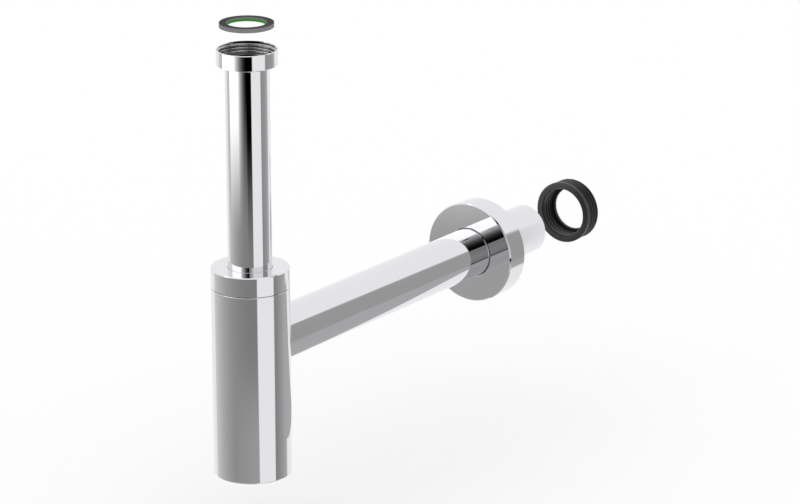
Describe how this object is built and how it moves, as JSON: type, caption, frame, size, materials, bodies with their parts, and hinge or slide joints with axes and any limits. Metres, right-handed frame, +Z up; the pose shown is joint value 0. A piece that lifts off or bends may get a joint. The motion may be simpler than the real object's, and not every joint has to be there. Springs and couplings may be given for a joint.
{
  "type": "basin trap",
  "caption": "Round chromed bottle trap for a washbasin: union-nut inlet, height-adjustable tube, plain bottle, outlet pipe to the wall with sliding flange and rubber wall seal.",
  "frame": {"origin": "on the inlet axis at the sealing plane, where the basin waste's tail ends on the washer", "axes": "+Z up along the inlet tube; +Y along the outlet pipe towards the wall; +X to the right for someone who faces the wall"},
  "size_m": [0.078, 0.4415, 0.336],
  "materials": {
    "chrome": "polished",
    "brass": "satin",
    "black_rubber": "satin",
    "washer_rubber": "matte",
    "white_plastic": "satin"
  },
  "bodies": {
    "bottle": {"bottle_body": "chrome", "neck_ring": "brass", "dip_gasket": "black_rubber", "dip_tube": "white_plastic", "outlet_pipe": "chrome"},
    "tube": {"inlet_tube": "chrome"},
    "slip_ring": {"slip_ring": "white_plastic"},
    "nut": {"inlet_nut": "chrome"},
    "washer": {"inlet_washer": "washer_rubber"},
    "cap_seal": {"cap_seal": "black_rubber"},
    "cap": {"bottle_cap": "chrome", "upper_tube_seal": "black_rubber", "seal_spacer": "white_plastic", "lower_tube_seal": "black_rubber", "gland_nut": "white_plastic"},
    "flange": {"wall_flange": "chrome", "flange_grip": "black_rubber"},
    "wall_seal": {"wall_seal": "black_rubber"}
  },
  "joints": [
    {"name": "tube_height", "type": "slide", "parent": "bottle", "child": "tube", "axis": [0, 0, 1], "range_m": [-0.035, 0.06]},
    {"name": "nut_slide", "type": "slide", "parent": "tube", "child": "slip_ring", "axis": [0, 0, 1], "range_m": [-0.1, 0]},
    {"name": "nut_spin", "type": "hinge", "parent": "slip_ring", "child": "nut", "pos_m": [0, 0, 0], "axis": [0, 0, 1], "continuous": true},
    {"name": "washer_slide", "type": "slide", "parent": "tube", "child": "washer", "axis": [0, 0, 1], "range_m": [-0.02455, 0]},
    {"name": "cap_lift", "type": "slide", "parent": "bottle", "child": "cap_seal", "axis": [0, 0, 1], "range_m": [0, 0.0061]},
    {"name": "cap_turn", "type": "hinge", "parent": "cap_seal", "child": "cap", "pos_m": [0, 0, -0.17], "axis": [0, 0, 1], "range_deg": [0, 1080]},
    {"name": "flange_slide", "type": "slide", "parent": "bottle", "child": "flange", "axis": [0, 1, 0], "range_m": [-0.225, 0.036]},
    {"name": "seal_slide", "type": "slide", "parent": "bottle", "child": "wall_seal", "axis": [0, 1, 0], "range_m": [-0.06445, 0]}
  ],
  "couplings": [
    {"joint": "cap_lift", "follows": "cap_turn", "m_per_rad": 0.00031831}
  ]
}
